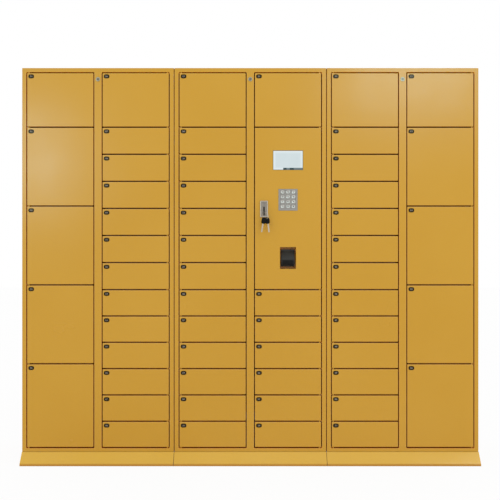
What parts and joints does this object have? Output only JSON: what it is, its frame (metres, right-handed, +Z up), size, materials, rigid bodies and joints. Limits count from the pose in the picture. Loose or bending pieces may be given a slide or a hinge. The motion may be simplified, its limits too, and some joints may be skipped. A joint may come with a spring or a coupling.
{
  "type": "smart locker",
  "caption": "Floor-standing steel parcel locker bank with numbered swing doors, a control door with display, keypad, code scanner and key lock, and a sloped plinth skirt.",
  "frame": {"origin": "centre of the bounding box on the floor", "axes": "X to the right seen from the front, Y to the back, Z up"},
  "size_m": [2.404, 0.545, 2.085],
  "materials": {
    "yellow_steel": "satin",
    "zinc_steel": "zinc plated",
    "lock_metal": "satin",
    "ring_steel": "polished",
    "keypad_metal": "brushed",
    "key_caps": "satin",
    "case_metal": "satin",
    "board": "matte",
    "black_plastic": "satin",
    "screen_glass": "gloss",
    "window_glass": "gloss"
  },
  "bodies": {
    "cabinet_bank": {"left_cabinet": "yellow_steel", "middle_cabinet": "yellow_steel", "right_cabinet": "yellow_steel", "shelves": "yellow_steel", "skirt_plates": "yellow_steel", "levelling_feet": "black_plastic", "hinge_lugs": "yellow_steel", "electric_locks": "zinc_steel", "lock_boards": "board", "power_supply": "case_metal", "cable_gland": "black_plastic", "control_computer": "case_metal", "cam_lock_housings": "lock_metal"},
    "control_door": {"control_door": "yellow_steel", "display_housing": "black_plastic", "display_glass": "screen_glass", "keypad_plate": "keypad_metal", "scanner_housing": "black_plastic", "scanner_window": "window_glass", "lock_case": "lock_metal"},
    "lock_plug": {"lock_plug": "lock_metal", "inserted_key": "black_plastic"},
    "spare_keys": {"spare_keys": "black_plastic", "key_ring": "ring_steel"},
    "pull_flap": {"pull_flap": "lock_metal"},
    "keypad_row_1": {"keypad_row_1": "key_caps"},
    "keypad_row_2": {"keypad_row_2": "key_caps"},
    "keypad_row_3": {"keypad_row_3": "key_caps"},
    "keypad_row_4": {"keypad_row_4": "key_caps"},
    "left_cam_lock": {"left_cam_lock": "lock_metal"},
    "middle_cam_lock": {"middle_cam_lock": "lock_metal"},
    "right_cam_lock": {"right_cam_lock": "lock_metal"},
    "door_a1": {"door_a1": "yellow_steel"},
    "door_a2": {"door_a2": "yellow_steel"},
    "door_a3": {"door_a3": "yellow_steel"},
    "door_a4": {"door_a4": "yellow_steel"},
    "door_a5": {"door_a5": "yellow_steel"},
    "door_b1": {"door_b1": "yellow_steel"},
    "door_bank_b2_to_b4": {"door_bank_b2_to_b4": "yellow_steel"},
    "door_bank_b5_to_b7": {"door_bank_b5_to_b7": "yellow_steel"},
    "door_bank_b8_to_b10": {"door_bank_b8_to_b10": "yellow_steel"},
    "door_bank_b11_to_b13": {"door_bank_b11_to_b13": "yellow_steel"},
    "door_c1": {"door_c1": "yellow_steel"},
    "door_bank_c2_to_c4": {"door_bank_c2_to_c4": "yellow_steel"},
    "door_bank_c5_to_c7": {"door_bank_c5_to_c7": "yellow_steel"},
    "door_bank_c8_to_c10": {"door_bank_c8_to_c10": "yellow_steel"},
    "door_bank_c11_to_c13": {"door_bank_c11_to_c13": "yellow_steel"},
    "door_d1": {"door_d1": "yellow_steel"},
    "door_bank_d2_to_d4": {"door_bank_d2_to_d4": "yellow_steel"},
    "door_bank_d5_to_d7": {"door_bank_d5_to_d7": "yellow_steel"},
    "door_e1": {"door_e1": "yellow_steel"},
    "door_bank_e2_to_e4": {"door_bank_e2_to_e4": "yellow_steel"},
    "door_bank_e5_to_e7": {"door_bank_e5_to_e7": "yellow_steel"},
    "door_bank_e8_to_e10": {"door_bank_e8_to_e10": "yellow_steel"},
    "door_bank_e11_to_e13": {"door_bank_e11_to_e13": "yellow_steel"},
    "door_f1": {"door_f1": "yellow_steel"},
    "door_f2": {"door_f2": "yellow_steel"},
    "door_f3": {"door_f3": "yellow_steel"},
    "door_f4": {"door_f4": "yellow_steel"},
    "door_f5": {"door_f5": "yellow_steel"}
  },
  "joints": [
    {"name": "control_door_swing", "type": "hinge", "parent": "cabinet_bank", "child": "control_door", "pos_m": [0.3642, -0.2215, 1.3465], "axis": [0, 0, 1], "range_deg": [0, 90]},
    {"name": "lock_plug_turn", "type": "hinge", "parent": "control_door", "child": "lock_plug", "pos_m": [0.0721, -0.2357, 1.321], "axis": [0, 1, 0], "range_deg": [0, 90]},
    {"name": "spare_keys_swing", "type": "hinge", "parent": "lock_plug", "child": "spare_keys", "pos_m": [0.0721, -0.264, 1.321], "axis": [0, 1, 0], "range_deg": [0, 40]},
    {"name": "pull_flap_lift", "type": "hinge", "parent": "control_door", "child": "pull_flap", "pos_m": [0.0721, -0.2332, 1.379], "axis": [-1, 0, 0], "range_deg": [0, 60]},
    {"name": "keypad_row_1_press", "type": "slide", "parent": "control_door", "child": "keypad_row_1", "axis": [0, 1, 0], "range_m": [0, 0.0015], "stiffness_N_per_m": 400},
    {"name": "keypad_row_2_press", "type": "slide", "parent": "control_door", "child": "keypad_row_2", "axis": [0, 1, 0], "range_m": [0, 0.0015], "stiffness_N_per_m": 400},
    {"name": "keypad_row_3_press", "type": "slide", "parent": "control_door", "child": "keypad_row_3", "axis": [0, 1, 0], "range_m": [0, 0.0015], "stiffness_N_per_m": 400},
    {"name": "keypad_row_4_press", "type": "slide", "parent": "control_door", "child": "keypad_row_4", "axis": [0, 1, 0], "range_m": [0, 0.0015], "stiffness_N_per_m": 400},
    {"name": "door_c1_swing", "type": "hinge", "parent": "cabinet_bank", "child": "door_c1", "pos_m": [-0.3642, -0.2215, 1.9175], "axis": [0, 0, -1], "range_deg": [0, 90]},
    {"name": "door_d1_swing", "type": "hinge", "parent": "cabinet_bank", "child": "door_d1", "pos_m": [0.3642, -0.2215, 1.9175], "axis": [0, 0, 1], "range_deg": [0, 90]},
    {"name": "door_a2_swing", "type": "hinge", "parent": "cabinet_bank", "child": "door_a2", "pos_m": [-1.1658, -0.2215, 1.5665], "axis": [0, 0, -1], "range_deg": [0, 90]},
    {"name": "door_f2_swing", "type": "hinge", "parent": "cabinet_bank", "child": "door_f2", "pos_m": [1.1658, -0.2215, 1.5665], "axis": [0, 0, 1], "range_deg": [0, 90]},
    {"name": "door_bank_c2_to_c4_swing", "type": "hinge", "parent": "cabinet_bank", "child": "door_bank_c2_to_c4", "pos_m": [-0.3642, -0.2215, 1.56025], "axis": [0, 0, -1], "range_deg": [0, 90]},
    {"name": "door_bank_d2_to_d4_swing", "type": "hinge", "parent": "cabinet_bank", "child": "door_bank_d2_to_d4", "pos_m": [0.3642, -0.2215, 0.71125], "axis": [0, 0, 1], "range_deg": [0, 90]},
    {"name": "door_bank_b5_to_b7_swing", "type": "hinge", "parent": "cabinet_bank", "child": "door_bank_b5_to_b7", "pos_m": [-0.4374, -0.2215, 1.13275], "axis": [0, 0, 1], "range_deg": [0, 90]},
    {"name": "door_bank_e8_to_e10_swing", "type": "hinge", "parent": "cabinet_bank", "child": "door_bank_e8_to_e10", "pos_m": [0.4374, -0.2215, 0.71125], "axis": [0, 0, -1], "range_deg": [0, 90]},
    {"name": "left_cam_lock_turn", "type": "hinge", "parent": "cabinet_bank", "child": "left_cam_lock", "pos_m": [-0.8016, -0.2275, 2.0264], "axis": [0, 1, 0], "range_deg": [0, 90]},
    {"name": "middle_cam_lock_turn", "type": "hinge", "parent": "cabinet_bank", "child": "middle_cam_lock", "pos_m": [0, -0.2275, 2.0264], "axis": [0, 1, 0], "range_deg": [0, 90]},
    {"name": "right_cam_lock_turn", "type": "hinge", "parent": "cabinet_bank", "child": "right_cam_lock", "pos_m": [0.8016, -0.2275, 2.0264], "axis": [0, 1, 0], "range_deg": [0, 90]},
    {"name": "door_a1_swing", "type": "hinge", "parent": "cabinet_bank", "child": "door_a1", "pos_m": [-1.1658, -0.2215, 1.9175], "axis": [0, 0, -1], "range_deg": [0, 90]},
    {"name": "door_a3_swing", "type": "hinge", "parent": "cabinet_bank", "child": "door_a3", "pos_m": [-1.1658, -0.2215, 1.1515], "axis": [0, 0, -1], "range_deg": [0, 90]},
    {"name": "door_a4_swing", "type": "hinge", "parent": "cabinet_bank", "child": "door_a4", "pos_m": [-1.1658, -0.2215, 0.7365], "axis": [0, 0, -1], "range_deg": [0, 90]},
    {"name": "door_a5_swing", "type": "hinge", "parent": "cabinet_bank", "child": "door_a5", "pos_m": [-1.1658, -0.2215, 0.3085], "axis": [0, 0, -1], "range_deg": [0, 90]},
    {"name": "door_b1_swing", "type": "hinge", "parent": "cabinet_bank", "child": "door_b1", "pos_m": [-0.4374, -0.2215, 1.9175], "axis": [0, 0, 1], "range_deg": [0, 90]},
    {"name": "door_bank_b2_to_b4_swing", "type": "hinge", "parent": "cabinet_bank", "child": "door_bank_b2_to_b4", "pos_m": [-0.4374, -0.2215, 1.56025], "axis": [0, 0, 1], "range_deg": [0, 90]},
    {"name": "door_bank_b8_to_b10_swing", "type": "hinge", "parent": "cabinet_bank", "child": "door_bank_b8_to_b10", "pos_m": [-0.4374, -0.2215, 0.71125], "axis": [0, 0, 1], "range_deg": [0, 90]},
    {"name": "door_bank_b11_to_b13_swing", "type": "hinge", "parent": "cabinet_bank", "child": "door_bank_b11_to_b13", "pos_m": [-0.4374, -0.2215, 0.29575], "axis": [0, 0, 1], "range_deg": [0, 90]},
    {"name": "door_bank_c5_to_c7_swing", "type": "hinge", "parent": "cabinet_bank", "child": "door_bank_c5_to_c7", "pos_m": [-0.3642, -0.2215, 1.13275], "axis": [0, 0, -1], "range_deg": [0, 90]},
    {"name": "door_bank_c8_to_c10_swing", "type": "hinge", "parent": "cabinet_bank", "child": "door_bank_c8_to_c10", "pos_m": [-0.3642, -0.2215, 0.71125], "axis": [0, 0, -1], "range_deg": [0, 90]},
    {"name": "door_bank_c11_to_c13_swing", "type": "hinge", "parent": "cabinet_bank", "child": "door_bank_c11_to_c13", "pos_m": [-0.3642, -0.2215, 0.29575], "axis": [0, 0, -1], "range_deg": [0, 90]},
    {"name": "door_bank_d5_to_d7_swing", "type": "hinge", "parent": "cabinet_bank", "child": "door_bank_d5_to_d7", "pos_m": [0.3642, -0.2215, 0.29575], "axis": [0, 0, 1], "range_deg": [0, 90]},
    {"name": "door_e1_swing", "type": "hinge", "parent": "cabinet_bank", "child": "door_e1", "pos_m": [0.4374, -0.2215, 1.9175], "axis": [0, 0, -1], "range_deg": [0, 90]},
    {"name": "door_bank_e2_to_e4_swing", "type": "hinge", "parent": "cabinet_bank", "child": "door_bank_e2_to_e4", "pos_m": [0.4374, -0.2215, 1.56025], "axis": [0, 0, -1], "range_deg": [0, 90]},
    {"name": "door_bank_e5_to_e7_swing", "type": "hinge", "parent": "cabinet_bank", "child": "door_bank_e5_to_e7", "pos_m": [0.4374, -0.2215, 1.13275], "axis": [0, 0, -1], "range_deg": [0, 90]},
    {"name": "door_bank_e11_to_e13_swing", "type": "hinge", "parent": "cabinet_bank", "child": "door_bank_e11_to_e13", "pos_m": [0.4374, -0.2215, 0.29575], "axis": [0, 0, -1], "range_deg": [0, 90]},
    {"name": "door_f1_swing", "type": "hinge", "parent": "cabinet_bank", "child": "door_f1", "pos_m": [1.1658, -0.2215, 1.9175], "axis": [0, 0, 1], "range_deg": [0, 90]},
    {"name": "door_f3_swing", "type": "hinge", "parent": "cabinet_bank", "child": "door_f3", "pos_m": [1.1658, -0.2215, 1.1515], "axis": [0, 0, 1], "range_deg": [0, 90]},
    {"name": "door_f4_swing", "type": "hinge", "parent": "cabinet_bank", "child": "door_f4", "pos_m": [1.1658, -0.2215, 0.7365], "axis": [0, 0, 1], "range_deg": [0, 90]},
    {"name": "door_f5_swing", "type": "hinge", "parent": "cabinet_bank", "child": "door_f5", "pos_m": [1.1658, -0.2215, 0.3085], "axis": [0, 0, 1], "range_deg": [0, 90]}
  ]
}
